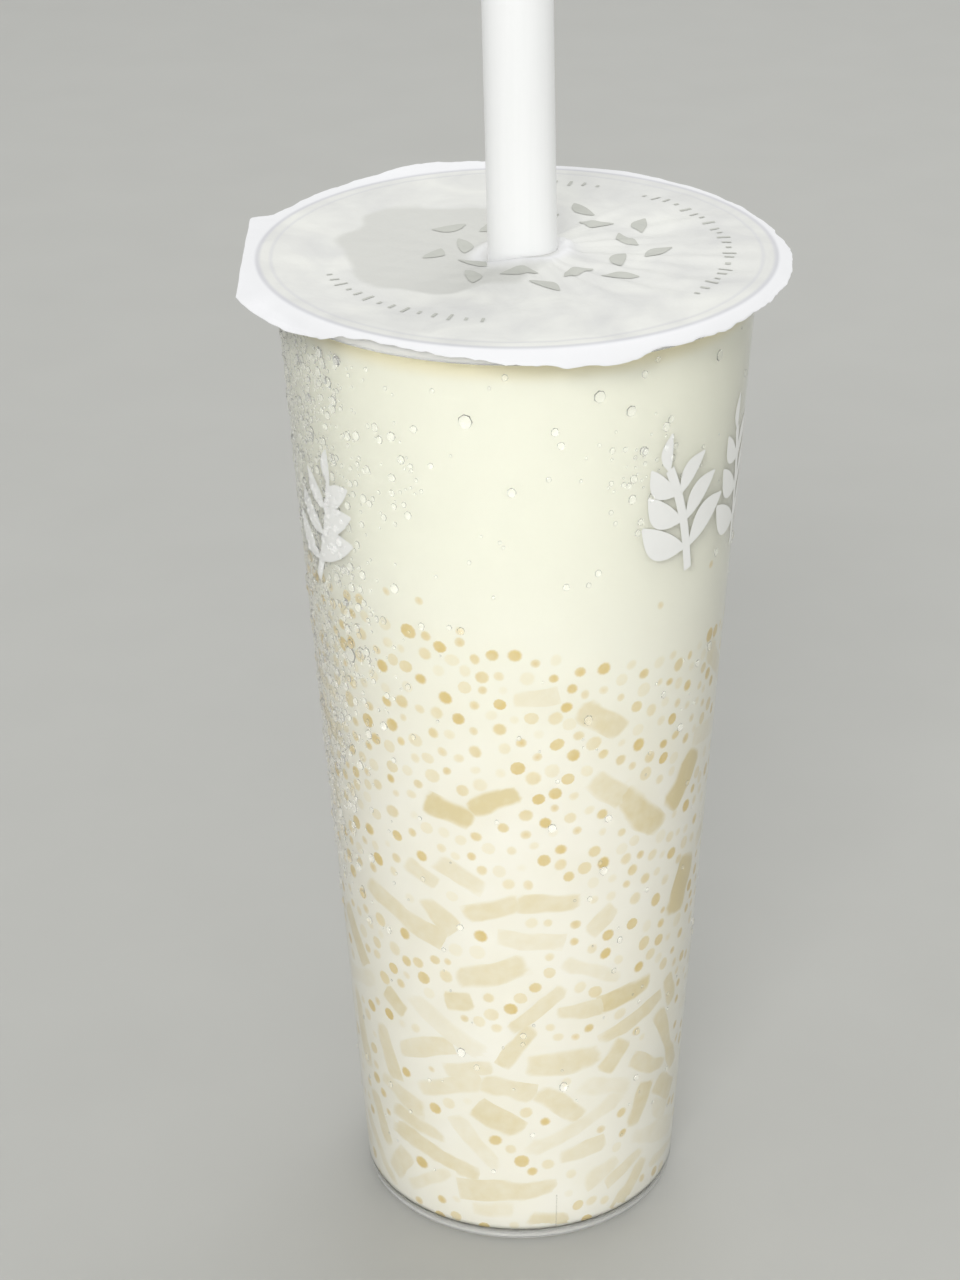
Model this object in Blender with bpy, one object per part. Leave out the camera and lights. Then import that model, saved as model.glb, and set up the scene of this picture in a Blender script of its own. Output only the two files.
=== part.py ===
# Bubble tea in its clear, film-sealed cup: milk tea over a heap of sago pearls and jelly strips,
# with a fat white straw through the film. Stands on the cup's foot, origin at its centre, +Z up, front at -Y.
# Sizes are in millimetres here, and every mesh is made in metres.

import math
import random

import bmesh
import bpy
from mathutils import Euler, Vector

MM = 0.001
SIDES = 48                     # sides of the turned pieces
FIT = 0.3                      # gap between pieces that touch

# Cup: a 90 mm sealing cup of about 0.7 litre
RIM_RADIUS = 45.0
RIM_TOP = 189.5
LIP_BOTTOM = 187.0             # the rim's edge turns down to here
LIP_WIDTH = 1.1
FLANGE_THICK = 1.2
NECK_RADIUS = 41.9             # outer wall where it meets the rim's flange
WALL_AT_FOOT = 30.3            # outer wall's line, carried down to the table
WALL_SLOPE = 0.0601            # radius gained for each mm of height
WALL_TOP = 182.0               # the wall flares a little more above this
WALL_THICK = 0.9
CORNER_RADIUS = 0.9
FLOOR_TOP = 2.2
INNER_CORNER = 2.5
FOOT_INNER_RADIUS = 28.0       # the cup stands on a narrow ring, with its floor raised inside it
FOOT_HOLLOW = 1.1

# Drink and toppings
DRINK_LEVEL = 183.5
HEAP_MIDDLE = 131.5            # height of the toppings' top at the axis
HEAP_TILT = -0.2               # the toppings lie higher on the left
PEARL_RADII = (1.3, 1.65)
STRIP_LENGTHS = (12.0, 21.0)
STRIP_WIDTHS = (3.8, 5.2)
STRIP_THICK = 2.6
STRIP_COUNT = 42
SIDE_PEARLS = 100
TOP_PEARLS = 14
PROUD = 1.3                    # how far toppings stand out of the core

# Film, sealed on the rim and pierced by the straw
FILM_THICK = 0.35
FILM_SIDES = 64
FILM_TOP = RIM_TOP + FIT + FILM_THICK
# Hand-torn edge: azimuth from +X in degrees, radius, drop below the film's top
FILM_EDGE = (
    (0, 47.3, 0.4), (22, 46.0, 0.2), (45, 46.3, 0.1), (65, 47.1, 0.0), (82, 46.3, 0.0),
    (100, 47.9, -0.9), (112, 48.2, -1.0), (130, 47.2, -0.2), (150, 47.3, 0.0), (158.5, 50.2, 0.1),
    (180, 47.3, 0.2), (203, 50.6, 0.6), (218, 49.3, 2.0), (229, 47.6, 1.8), (238, 46.0, 0.6),
    (248, 46.2, 0.9), (257, 47.2, 2.2), (270, 47.6, 2.3), (285, 48.0, 2.2), (300, 47.2, 1.9),
    (315, 47.4, 1.9), (330, 47.4, 1.3), (345, 47.6, 0.7))

# Straw: 12 mm, leaning slightly to the left
STRAW_RADIUS = 6.0
STRAW_WALL = 0.5
STRAW_BOTTOM = 6.0
STRAW_TOP = 246.0
STRAW_X_AT_FILM = 1.0
STRAW_LEAN = math.radians(1.0)
STRAW_POINT = 9.0              # height of the slanted lower end


def wall_radius(z):
    """Outer radius of the cup's wall."""
    if z <= WALL_TOP:
        return WALL_AT_FOOT + WALL_SLOPE * z
    share = (z - WALL_TOP) / (RIM_TOP - FLANGE_THICK - WALL_TOP)
    top = WALL_AT_FOOT + WALL_SLOPE * WALL_TOP
    return top + share * (NECK_RADIUS - top)


def corner_centre(radius, floor, thick):
    """Centre of the arc that joins a floor to the wall's line."""
    tilt = math.atan(WALL_SLOPE)
    z = floor + radius
    return WALL_AT_FOOT + WALL_SLOPE * z - (thick + radius) / math.cos(tilt), z


def corner_arc(radius, floor, thick, steps):
    """Points of that arc, from the floor up to the wall."""
    r, z = corner_centre(radius, floor, thick)
    first, last = -math.pi / 2, -math.atan(WALL_SLOPE)
    turns = [first + (last - first) * i / steps for i in range(steps + 1)]
    return [(r + radius * math.cos(a), z + radius * math.sin(a)) for a in turns]


def bore_radius(z):
    """Inner radius of the cup, round its inner corner too."""
    r, centre = corner_centre(INNER_CORNER, FLOOR_TOP, WALL_THICK)
    if z < centre - INNER_CORNER * math.sin(math.atan(WALL_SLOPE)):
        return r + math.sqrt(max(INNER_CORNER ** 2 - (centre - z) ** 2, 0.0))
    return wall_radius(z) - WALL_THICK


def heap_top(x, y):
    """Height of the toppings' uneven top."""
    bumps = 1.2 * math.sin(0.19 * x + 0.8) * math.cos(0.23 * y - 0.5)
    return HEAP_MIDDLE + HEAP_TILT * x + bumps


def circle(radius, height):
    """One ring of points; height is a number or a function of x and y."""
    points = []
    for i in range(SIDES):
        x = radius * math.cos(2 * math.pi * i / SIDES)
        y = radius * math.sin(2 * math.pi * i / SIDES)
        points.append((x, y, height(x, y) if callable(height) else height))
    return points


def ring_on_bore(inset, height):
    """A ring that keeps a distance inside the cup's bore, at a height that varies."""
    points = []
    for i in range(SIDES):
        a = 2 * math.pi * i / SIDES
        radius = bore_radius(HEAP_MIDDLE) - inset
        for _ in range(4):
            z = height(radius * math.cos(a), radius * math.sin(a))
            radius = bore_radius(z) - inset
        points.append((radius * math.cos(a), radius * math.sin(a), z))
    return points


def material(name, colour, roughness, alpha=1.0):
    made = bpy.data.materials.new(name)
    made.use_nodes = True
    shader = made.node_tree.nodes["Principled BSDF"]
    shader.inputs["Base Color"].default_value = (*colour, 1.0)
    shader.inputs["Roughness"].default_value = roughness
    shader.inputs["Alpha"].default_value = alpha
    made.diffuse_color = (*colour, alpha)
    return made


def add_object(name, mesh, finish=None):
    thing = bpy.data.objects.new(name, mesh)
    bpy.context.scene.collection.objects.link(thing)
    if finish:
        mesh.materials.append(finish)
    return thing


def mesh_from(name, points, faces):
    """A mesh in metres from points in millimetres, with its faces turned outward."""
    build = bmesh.new()
    made = [build.verts.new(Vector(p) * MM) for p in points]
    for face in faces:
        build.faces.new([made[i] for i in face])
    bmesh.ops.recalc_face_normals(build, faces=build.faces)
    mesh = bpy.data.meshes.new(name)
    build.to_mesh(mesh)
    build.free()
    return mesh


def loft(name, rings, joined=False):
    """A solid through rings of points. A ring of one point is a pole; joined closes last to first."""
    points = [p for ring in rings for p in ring]
    starts = [sum(len(r) for r in rings[:i]) for i in range(len(rings))]
    pairs = [(i, i + 1) for i in range(len(rings) - 1)]
    if joined:
        pairs.append((len(rings) - 1, 0))
    faces = []
    for low, high in pairs:
        n, m = len(rings[low]), len(rings[high])
        for i in range(max(n, m)):
            j = (i + 1) % max(n, m)
            a, b = starts[low] + i % n, starts[low] + j % n
            c, d = starts[high] + j % m, starts[high] + i % m
            faces.append([p for k, p in enumerate((a, b, c, d)) if p not in (a, b, c, d)[:k]])
    return mesh_from(name, points, faces)


def smooth(thing, degrees=35):
    thing.data.shade_smooth()
    thing.data.set_sharp_from_angle(angle=math.radians(degrees))


def make_cup():
    outer = [(0.0, FOOT_HOLLOW), (FOOT_INNER_RADIUS - 0.6, FOOT_HOLLOW), (FOOT_INNER_RADIUS, 0.0)]
    outer += corner_arc(CORNER_RADIUS, 0.0, 0.0, 3)
    outer += [(wall_radius(95.0), 95.0), (wall_radius(WALL_TOP), WALL_TOP)]
    under = RIM_TOP - FLANGE_THICK
    lip = RIM_RADIUS - LIP_WIDTH
    rim = [(NECK_RADIUS, under), (lip, under), (lip, LIP_BOTTOM + 0.2), (lip + 0.3, LIP_BOTTOM),
           (RIM_RADIUS - 0.3, LIP_BOTTOM), (RIM_RADIUS, LIP_BOTTOM + 0.4), (RIM_RADIUS, RIM_TOP - 0.5),
           (RIM_RADIUS - 0.5, RIM_TOP), (NECK_RADIUS - 0.3, RIM_TOP), (NECK_RADIUS - 0.8, RIM_TOP - 0.5)]
    inner = [(bore_radius(WALL_TOP), WALL_TOP), (bore_radius(95.0), 95.0)]
    inner += reversed(corner_arc(INNER_CORNER, FLOOR_TOP, WALL_THICK, 4))
    inner += [(0.0, FLOOR_TOP)]
    rings = [circle(r, z) if r else [(0.0, 0.0, z)] for r, z in outer + rim + inner]
    cup = add_object("cup", loft("cup", rings), material("clear cup plastic", (0.86, 0.88, 0.86), 0.08, 0.35))
    smooth(cup)
    return cup


def straw_axis(z):
    """The straw's centre at a height."""
    return STRAW_X_AT_FILM - math.tan(STRAW_LEAN) * (z - FILM_TOP)


def place_on_straw(thing):
    thing.location = Vector((straw_axis(STRAW_BOTTOM), 0.0, STRAW_BOTTOM)) * MM
    thing.rotation_euler = (0.0, -STRAW_LEAN, 0.0)


def make_straw():
    length = (STRAW_TOP - STRAW_BOTTOM) / math.cos(STRAW_LEAN)
    bore = STRAW_RADIUS - STRAW_WALL

    def slant(x, y):
        return STRAW_POINT * (0.5 + 0.5 * x / STRAW_RADIUS)

    rings = [circle(STRAW_RADIUS, slant), circle(STRAW_RADIUS, length), circle(bore, length), circle(bore, slant)]
    straw = add_object("straw", loft("straw", rings, joined=True), material("white straw", (0.9, 0.9, 0.9), 0.35))
    place_on_straw(straw)
    smooth(straw)
    return straw


def make_straw_hole():
    """The straw's outside plus its fit: it cuts the drink and the toppings."""
    length = STRAW_TOP - STRAW_BOTTOM
    radius = STRAW_RADIUS + FIT
    rings = [[(0.0, 0.0, -FIT)], circle(radius, -FIT), circle(radius, length), [(0.0, 0.0, length)]]
    hole = add_object("straw_hole", loft("straw_hole", rings))
    place_on_straw(hole)
    hole.hide_render = True
    hole.display_type = "WIRE"
    return hole


def cut(thing, cutter):
    made = thing.modifiers.new("straw hole", "BOOLEAN")
    made.operation = "DIFFERENCE"
    made.solver = "EXACT"
    made.object = cutter


def film_edge(azimuth):
    """Radius and drop of the torn edge, eased between its points."""
    degrees = math.degrees(azimuth) % 360
    for here, then in zip(FILM_EDGE, FILM_EDGE[1:] + ((360, *FILM_EDGE[0][1:]),)):
        if here[0] <= degrees <= then[0]:
            share = (degrees - here[0]) / (then[0] - here[0])
            return [a + (b - a) * share for a, b in zip(here[1:], then[1:])]


def film_height(x, y, drop):
    """Top of the film: flat on the rim, pushed down left of the straw and up in front of it."""
    away = math.hypot(x - STRAW_X_AT_FILM, y)
    side = (x - STRAW_X_AT_FILM) / max(away, 1e-6)
    front = -y / max(away, 1e-6)
    push = math.exp(-max(away - STRAW_RADIUS, 0.0) / 5.0)
    dent = push * (0.9 * front - 1.3 * max(-side, 0.0) + 0.2 * side - 0.2)
    beyond = min(max((math.hypot(x, y) - RIM_RADIUS + 0.2) / 2.2, 0.0), 1.0)
    return FILM_TOP + dent - drop * beyond


def make_film():
    hole = STRAW_RADIUS + FIT + 0.1
    reach = (0.0, 0.08, 0.25, 0.6)
    around = [2 * math.pi * i / FILM_SIDES for i in range(FILM_SIDES)]

    def ring(radius_of, lower):
        points = []
        for a in around:
            radius, drop = radius_of(a)
            centre = STRAW_X_AT_FILM * max(0.0, 1.0 - (radius - hole) / (RIM_RADIUS - hole))
            x, y = centre + radius * math.cos(a), radius * math.sin(a)
            points.append((x, y, film_height(x, y, drop) - lower))
        return points

    def between(share):
        return lambda a: (hole + share * (RIM_RADIUS - 3.0 - hole), 0.0)

    bands = [between(s) for s in reach] + [lambda a: (RIM_RADIUS + 0.1, 0.0), film_edge]
    top = [ring(band, 0.0) for band in bands]
    bottom = [ring(band, FILM_THICK) for band in reversed(bands)]
    film = add_object("seal_film", loft("seal_film", top + bottom, joined=True),
                      material("sealing film", (0.85, 0.85, 0.84), 0.45))
    smooth(film)
    return film


def make_drink(hole):
    def floor(x, y):
        return heap_top(x, y) + 2 * FIT

    rings = [[(0.0, 0.0, floor(0.0, 0.0))], circle(13.0, floor), circle(26.0, floor), ring_on_bore(FIT, floor)]
    rings += [circle(bore_radius(z) - FIT, z) for z in (WALL_TOP, DRINK_LEVEL)]
    rings += [[(0.0, 0.0, DRINK_LEVEL)]]
    drink = add_object("milk_tea", loft("milk_tea", rings), material("milk tea", (0.9, 0.86, 0.72), 0.3))
    cut(drink, hole)
    smooth(drink)
    return drink


def pearl(name, centre, radius, spin):
    """A sago pearl of few sides."""
    build = bmesh.new()
    bmesh.ops.create_icosphere(build, subdivisions=1, radius=radius * MM)
    bmesh.ops.rotate(build, verts=build.verts, matrix=Euler(spin).to_matrix())
    bmesh.ops.translate(build, verts=build.verts, vec=Vector(centre) * MM)
    mesh = bpy.data.meshes.new(name)
    build.to_mesh(mesh)
    build.free()
    return bpy.data.objects.new(name, mesh)


def strip(name, azimuth, height, length, width, tilt):
    """A jelly strip bent along the wall, its outer face the fit inside the bore."""
    rings = []
    for i in range(5):
        along = (i / 4 - 0.5) * length
        ring = []
        for across, depth in ((-0.5, 0.0), (0.5, 0.0), (0.5, 1.0), (-0.5, 1.0)):
            side = along * math.cos(tilt) - across * width * math.sin(tilt)
            z = height + along * math.sin(tilt) + across * width * math.cos(tilt)
            radius = bore_radius(z) - FIT - 0.15 - depth * STRIP_THICK
            a = azimuth + side / bore_radius(height)
            ring.append((radius * math.cos(a), radius * math.sin(a), z))
        rings.append(ring)
    ends = [[tuple(sum((Vector(p) for p in ring), Vector()) / 4)] for ring in (rings[0], rings[-1])]
    return bpy.data.objects.new(name, loft(name, [ends[0]] + rings + [ends[1]]))


def spread_toppings(dice):
    """Places on the wall for the strips, then for the pearls between them, none touching."""
    strips, pearls = [], []
    flat = bore_radius(HEAP_MIDDLE / 2)

    def apart(s, z, others, keep):
        around_bore = 2 * math.pi * flat
        for so, zo, reach in others:
            gap = (s - so + around_bore / 2) % around_bore - around_bore / 2
            if math.hypot(gap, z - zo) < keep + reach:
                return False
        return True

    taken = []
    for _ in range(4000):
        if len(strips) == STRIP_COUNT:
            break
        length, width = dice.uniform(*STRIP_LENGTHS), dice.uniform(*STRIP_WIDTHS)
        tilt = dice.choice((-1, 1)) * math.radians(dice.uniform(0, 55))
        s, z = dice.uniform(0, 2 * math.pi * flat), dice.uniform(14.0, 112.0)
        dots = [(s + t * length * math.cos(tilt), z + t * length * math.sin(tilt), width / 2)
                for t in (-0.5, -0.25, 0.0, 0.25, 0.5)]
        if all(apart(d[0], d[1], taken, d[2] + 0.4) for d in dots):
            taken += dots
            strips.append((s / flat, z, length, width, tilt))
    for _ in range(20000):
        if len(pearls) == SIDE_PEARLS:
            break
        radius = dice.uniform(*PEARL_RADII)
        s = dice.uniform(0, 2 * math.pi * flat)
        high = dice.random() < 0.6
        z = dice.uniform(100.0, 138.0) if high else dice.uniform(8.0, 104.0)
        azimuth = s / flat
        top = heap_top(bore_radius(z) * math.cos(azimuth), bore_radius(z) * math.sin(azimuth))
        if z < top - PROUD - radius and apart(s, z, taken, radius + 0.4):
            taken.append((s, z, radius))
            pearls.append((azimuth, z, radius))
    return strips, pearls


def make_toppings(hole):
    """The heap: a core that follows the cup, with the strips and pearls that show fused to it."""
    dice = random.Random(11)
    inset = FIT + PROUD

    def top(x, y):
        return heap_top(x, y) - PROUD

    arc = corner_arc(INNER_CORNER - inset, FLOOR_TOP + inset, WALL_THICK + inset, 3)
    profile = [(arc[0][0] - 1.0, FLOOR_TOP + FIT)] + arc + [(bore_radius(z) - inset, z) for z in (40.0, 75.0, 105.0)]
    rings = [[(0.0, 0.0, FLOOR_TOP + FIT)]] + [circle(r, z) for r, z in profile]
    rings += [ring_on_bore(inset, top), circle(28.0, top), circle(14.0, top), [(0.0, 0.0, top(0.0, 0.0))]]
    toppings = add_object("sago_and_jelly", loft("sago_and_jelly", rings),
                          material("sago and jelly in milk", (0.86, 0.78, 0.58), 0.4))

    pieces = bpy.data.collections.new("pieces")
    bpy.context.scene.collection.children.link(pieces)
    strips, pearls = spread_toppings(dice)
    for i, place in enumerate(strips):
        pieces.objects.link(strip(f"strip_{i}", *place))
    for i, (azimuth, z, radius) in enumerate(pearls):
        out = bore_radius(z) - FIT - 0.15 - radius
        centre = (out * math.cos(azimuth), out * math.sin(azimuth), z)
        pieces.objects.link(pearl(f"pearl_{i}", centre, radius, [dice.uniform(0, 6) for _ in range(3)]))
    for i in range(TOP_PEARLS):
        azimuth = i * math.pi * (3 - math.sqrt(5))
        out = 11.0 + 22.0 * math.sqrt(i / TOP_PEARLS)
        x, y = out * math.cos(azimuth), out * math.sin(azimuth)
        spin = [dice.uniform(0, 6) for _ in range(3)]
        pieces.objects.link(pearl(f"top_pearl_{i}", (x, y, top(x, y) - 0.3), dice.uniform(*PEARL_RADII), spin))

    union = toppings.modifiers.new("pieces", "BOOLEAN")
    union.operation = "UNION"
    union.solver = "EXACT"
    union.operand_type = "COLLECTION"
    union.collection = pieces
    bpy.context.view_layer.update()
    seen = toppings.evaluated_get(bpy.context.evaluated_depsgraph_get())
    joined = bpy.data.meshes.new_from_object(seen)
    toppings.modifiers.remove(union)
    toppings.data = joined
    for piece in list(pieces.objects):
        bpy.data.objects.remove(piece)
    bpy.data.collections.remove(pieces)
    cut(toppings, hole)
    return toppings


def main():
    for thing in list(bpy.data.objects):
        bpy.data.objects.remove(thing)
    hole = make_straw_hole()
    make_cup()
    make_toppings(hole)
    make_drink(hole)
    make_film()
    make_straw()


main()
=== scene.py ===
# Bubble tea in a clear, film-sealed cup: the looks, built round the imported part.
import math
import random

import bpy
from mathutils import Matrix, Vector, noise


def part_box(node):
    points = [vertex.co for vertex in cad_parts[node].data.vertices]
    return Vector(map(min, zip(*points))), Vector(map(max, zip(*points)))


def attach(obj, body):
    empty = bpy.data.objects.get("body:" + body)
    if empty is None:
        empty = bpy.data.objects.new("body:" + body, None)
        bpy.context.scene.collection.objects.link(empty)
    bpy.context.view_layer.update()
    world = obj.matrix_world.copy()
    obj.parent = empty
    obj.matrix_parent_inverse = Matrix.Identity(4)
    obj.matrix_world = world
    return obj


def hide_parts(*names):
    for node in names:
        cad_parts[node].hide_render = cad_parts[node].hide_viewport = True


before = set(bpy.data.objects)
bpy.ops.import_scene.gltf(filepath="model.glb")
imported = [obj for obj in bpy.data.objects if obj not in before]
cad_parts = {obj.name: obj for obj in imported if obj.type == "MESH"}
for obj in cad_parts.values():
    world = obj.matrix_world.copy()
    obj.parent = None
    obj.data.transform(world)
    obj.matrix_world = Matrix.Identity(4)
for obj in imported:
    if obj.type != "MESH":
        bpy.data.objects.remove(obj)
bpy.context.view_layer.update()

mm = 0.001

# The cup, in millimetres. Rim and height come from the frame, the rest is the wall's own shape.
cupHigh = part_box("cup")[1]
cup = {
    "rimRadius": cupHigh.x / mm, "rimTop": cupHigh.z / mm, "lipDrop": 2.5, "lipWidth": 1.1,
    "flangeThick": 1.2, "neckRadius": 41.9, "wallAtFoot": 30.3, "wallSlope": 0.0601, "wallTop": 182.0,
    "wallThick": 0.9, "cornerRadius": 0.9, "innerCorner": 1.4, "floorTop": 2.1,
    "footInner": 28.0, "footHollow": 1.1, "sides": 192,
}
# How far the contents reach into the clear wall, so that no air shows between them
press = {"liquid": 0.12, "wallBehind": 0.3, "flatness": 0.08, "flatDepth": 1.5}
drink = {"level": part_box("milk_tea")[1].z / mm, "meniscus": 0.5, "cling": 188.0}
strawLow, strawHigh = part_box("straw")
straw = {"radius": 6.0, "wall": 0.4, "lean": math.radians(1.0), "xAtFilm": 1.0, "sides": 96,
         "bottom": strawLow.z / mm, "top": strawHigh.z / mm, "slant": 9.0}
wallTilt = math.atan(cup["wallSlope"])


# '#RRGGBB' in sRGB to linear RGBA
def linearColour(code):
    parts = [int(code[i:i + 2], 16) / 255 for i in (1, 3, 5)]
    return [p / 12.92 if p <= 0.04045 else ((p + 0.055) / 1.055) ** 2.4 for p in parts] + [1.0]


# A node with its settings; an input takes a value, a socket or another node's first output
def addNode(tree, kind, inputs=None, **settings):
    node = tree.nodes.new(kind)
    for name, value in settings.items():
        setattr(node, name, value)
    for key, value in (inputs or {}).items():
        if isinstance(value, bpy.types.Node):
            tree.links.new(value.outputs[0], node.inputs[key])
        elif isinstance(value, bpy.types.NodeSocket):
            tree.links.new(value, node.inputs[key])
        else:
            node.inputs[key].default_value = value
    return node


# A Math node of the values or nodes given
def maths(tree, operation, *values):
    return addNode(tree, "ShaderNodeMath", dict(enumerate(values)), operation=operation)


def noiseFrom(tree, place, scale, detail):
    return addNode(tree, "ShaderNodeTexNoise", {"Vector": place, "Scale": scale, "Detail": detail})


def bumpFrom(tree, height, strength, distance):
    return addNode(tree, "ShaderNodeBump", {"Strength": strength, "Distance": distance, "Height": height})


def mixColours(tree, share, first, second):
    mix = addNode(tree, "ShaderNodeMix", {"Factor": share, "A": first, "B": second}, data_type="RGBA")
    return mix.outputs["Result"]


# A value between low and high, carried over to toLow and toHigh
def ranged(tree, value, low, high, toLow=0.0, toHigh=1.0, ease="LINEAR"):
    return addNode(tree, "ShaderNodeMapRange", {
        "Value": value, "From Min": low, "From Max": high, "To Min": toLow, "To Max": toHigh},
        interpolation_type=ease)


def objectPlace(tree):
    return addNode(tree, "ShaderNodeTexCoord").outputs["Object"]


def namedValue(tree, name, kind):
    return addNode(tree, "GeometryNodeInputNamedAttribute", {"Name": name}, data_type=kind)


def addSockets(tree, side, kind, *names):
    for name in names:
        tree.interface.new_socket(name=name, in_out=side, socket_type="NodeSocket" + kind)


def newMaterial(name):
    made = bpy.data.materials.new(name)
    made.use_nodes = True
    made.node_tree.nodes.clear()
    return made, made.node_tree


def closeMaterial(tree, shader):
    addNode(tree, "ShaderNodeOutputMaterial", {"Surface": shader})


# A clear material's end: shadow rays pass straight through, so that it doesn't darken what is inside
def closeClear(tree, clear, shadow):
    passing = addNode(tree, "ShaderNodeBsdfTransparent", {"Color": linearColour(shadow)})
    shade = addNode(tree, "ShaderNodeLightPath").outputs["Is Shadow Ray"]
    closeMaterial(tree, addNode(tree, "ShaderNodeMixShader", {0: shade, 1: clear, 2: passing}))


# A mesh object from points in millimetres
def newPiece(name, points, faces, material, smooth=True, sharp=40):
    mesh = bpy.data.meshes.new(name)
    mesh.from_pydata([(p[0] * mm, p[1] * mm, p[2] * mm) for p in points], [], faces)
    mesh.update()
    if smooth:
        mesh.shade_smooth()
        mesh.set_sharp_from_angle(angle=math.radians(sharp))
    piece = bpy.data.objects.new(name, mesh)
    bpy.context.scene.collection.objects.link(piece)
    mesh.materials.append(material)
    return piece


# Points and faces of a solid through rings of points; a ring of one point is a pole
def turned(rings, joined=False):
    points = [p for ring in rings for p in ring]
    starts = [0]
    for ring in rings:
        starts.append(starts[-1] + len(ring))
    pairs = [(i, i + 1) for i in range(len(rings) - 1)] + ([(len(rings) - 1, 0)] if joined else [])
    faces = []
    for lower, upper in pairs:
        n, m = len(rings[lower]), len(rings[upper])
        for i in range(max(n, m)):
            j = (i + 1) % max(n, m)
            a, b = starts[lower] + i % n, starts[lower] + j % n
            c, d = starts[upper] + j % m, starts[upper] + i % m
            faces.append([p for k, p in enumerate((a, b, c, d)) if p not in (a, b, c, d)[:k]])
    return points, faces


def circle(radius, z, sides, x=0.0):
    turns = [2 * math.pi * i / sides for i in range(sides)]
    return [(x + radius * math.cos(a), radius * math.sin(a), z) for a in turns] if radius else [(x, 0.0, z)]


# Profile points on an arc, angles in degrees
def arc(r, z, radius, first, last, steps):
    turns = [math.radians(first + (last - first) * i / steps) for i in range(steps + 1)]
    return [(r + radius * math.cos(a), z + radius * math.sin(a)) for a in turns]


# Centre of the arc between a floor and the sloping wall
def cornerCentre(radius, floor, thick):
    z = floor + radius
    return cup["wallAtFoot"] + cup["wallSlope"] * z - (thick + radius) / math.cos(wallTilt), z


outerCorner = (*cornerCentre(cup["cornerRadius"], 0.0, 0.0), cup["cornerRadius"])
innerCorner = (*cornerCentre(cup["innerCorner"], cup["floorTop"], cup["wallThick"]), cup["innerCorner"])
liquidCorner = (innerCorner[0], innerCorner[1], innerCorner[2] + press["liquid"])


# Outer radius of the wall; it flares a little under the rim
def wallRadius(z):
    if z <= cup["wallTop"]:
        return cup["wallAtFoot"] + cup["wallSlope"] * z
    top = cup["wallAtFoot"] + cup["wallSlope"] * cup["wallTop"]
    under = cup["rimTop"] - cup["flangeThick"]
    return top + (cup["neckRadius"] - top) * (z - cup["wallTop"]) / (under - cup["wallTop"])


# A point on a wall profile: bearing in radians from +X, up along the profile, out from it
def onWall(bearing, up, across, out, corner):
    r0, z0, radius = corner
    length = radius * (math.pi / 2 - wallTilt)
    bent = min(max(up, 0.0), length)
    phi = bent / radius - math.pi / 2
    beyond = up - bent
    r = r0 + (radius + out) * math.cos(phi) - beyond * math.sin(phi)
    z = z0 + (radius + out) * math.sin(phi) + beyond * math.cos(phi)
    angle = bearing + across / max(r, 1.0)
    return r * math.cos(angle), r * math.sin(angle), z


# Clear injection-moulded polypropylene: glossy, faintly clouded, and misted where it has sweated
def makeCupPlastic():
    made, tree = newMaterial("clearPolypropylene")
    place = objectPlace(tree)
    # Mist: a fine fog of water about 20 mm across in its patches
    patches = noiseFrom(tree, place, 45.0, 3.0)
    rough = ranged(tree, patches.outputs["Fac"], 0.42, 0.7, 0.05, 0.16)
    # Cloudier where it is thick, in the rim and the foot
    height = addNode(tree, "ShaderNodeSeparateXYZ", {"Vector": place}).outputs["Z"]
    rimHaze = ranged(tree, height, 0.1868, 0.1876, 1.0, 0.4)
    footHaze = ranged(tree, height, 0.0012, 0.0026, 0.6, 1.0)
    through = maths(tree, "MINIMUM", rimHaze, footHaze)
    ripple = noiseFrom(tree, place, 60.0, 2.0)
    bump = bumpFrom(tree, ripple.outputs["Fac"], 0.06, 0.0004)
    clear = addNode(tree, "ShaderNodeBsdfPrincipled", {
        "Base Color": linearColour("#FDFDFB"), "Roughness": rough, "Normal": bump, "IOR": 1.49,
        "Transmission Weight": through})
    closeClear(tree, clear, "#FAFAF8")
    return made


# Condensation: water drops, clear and very smooth
def makeWater():
    made, tree = newMaterial("condensationWater")
    place = objectPlace(tree)
    wobble = noiseFrom(tree, place, 900.0, 1.0)
    bump = bumpFrom(tree, wobble.outputs["Fac"], 0.1, 0.0002)
    clear = addNode(tree, "ShaderNodeBsdfPrincipled", {
        "Base Color": linearColour("#FFFFFF"), "Roughness": 0.03, "Normal": bump, "IOR": 1.24,
        "Transmission Weight": 0.93})
    closeClear(tree, clear, "#FAFAFA")
    return made


# Milk tea's colour, with a band of painted shade under the film, shared by the liquid and by whatever sinks
# into it
def makeMilkColour():
    tree = bpy.data.node_groups.new("milkColour", "ShaderNodeTree")
    addSockets(tree, "OUTPUT", "Color", "Color")
    place = objectPlace(tree)
    height = addNode(tree, "ShaderNodeSeparateXYZ", {"Vector": place}).outputs["Z"]
    # Whiter among the toppings, where the milk has settled, and creamier above them
    rise = ranged(tree, height, 0.095, 0.15)
    clouds = noiseFrom(tree, place, 90.0, 2.0)
    low = mixColours(tree, clouds.outputs["Fac"], linearColour("#F7F4E7"), linearColour("#FDFCF6"))
    both = mixColours(tree, rise, low, linearColour("#F7F7EA"))
    # Deeper in a band just under the film: partly the thin skin of milk that clings to the wall above the
    # drink's level, partly painted shade of the film's overhang
    cling = ranged(tree, height, 0.1815, 0.1855, ease="SMOOTHSTEP")
    clungAndShaded = mixColours(tree, cling, both, linearColour("#F4EDCE"))
    addNode(tree, "NodeGroupOutput", {0: clungAndShaded})
    return tree


# Milk tea: opaque cream-coloured liquid with a soft wet sheen
def makeMilk():
    made, tree = newMaterial("milkTea")
    colour = addNode(tree, "ShaderNodeGroup", node_tree=milkColour)
    closeMaterial(tree, addNode(tree, "ShaderNodeBsdfPrincipled", {
        "Base Color": colour, "Roughness": 0.35, "IOR": 1.35}))
    return made


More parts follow.
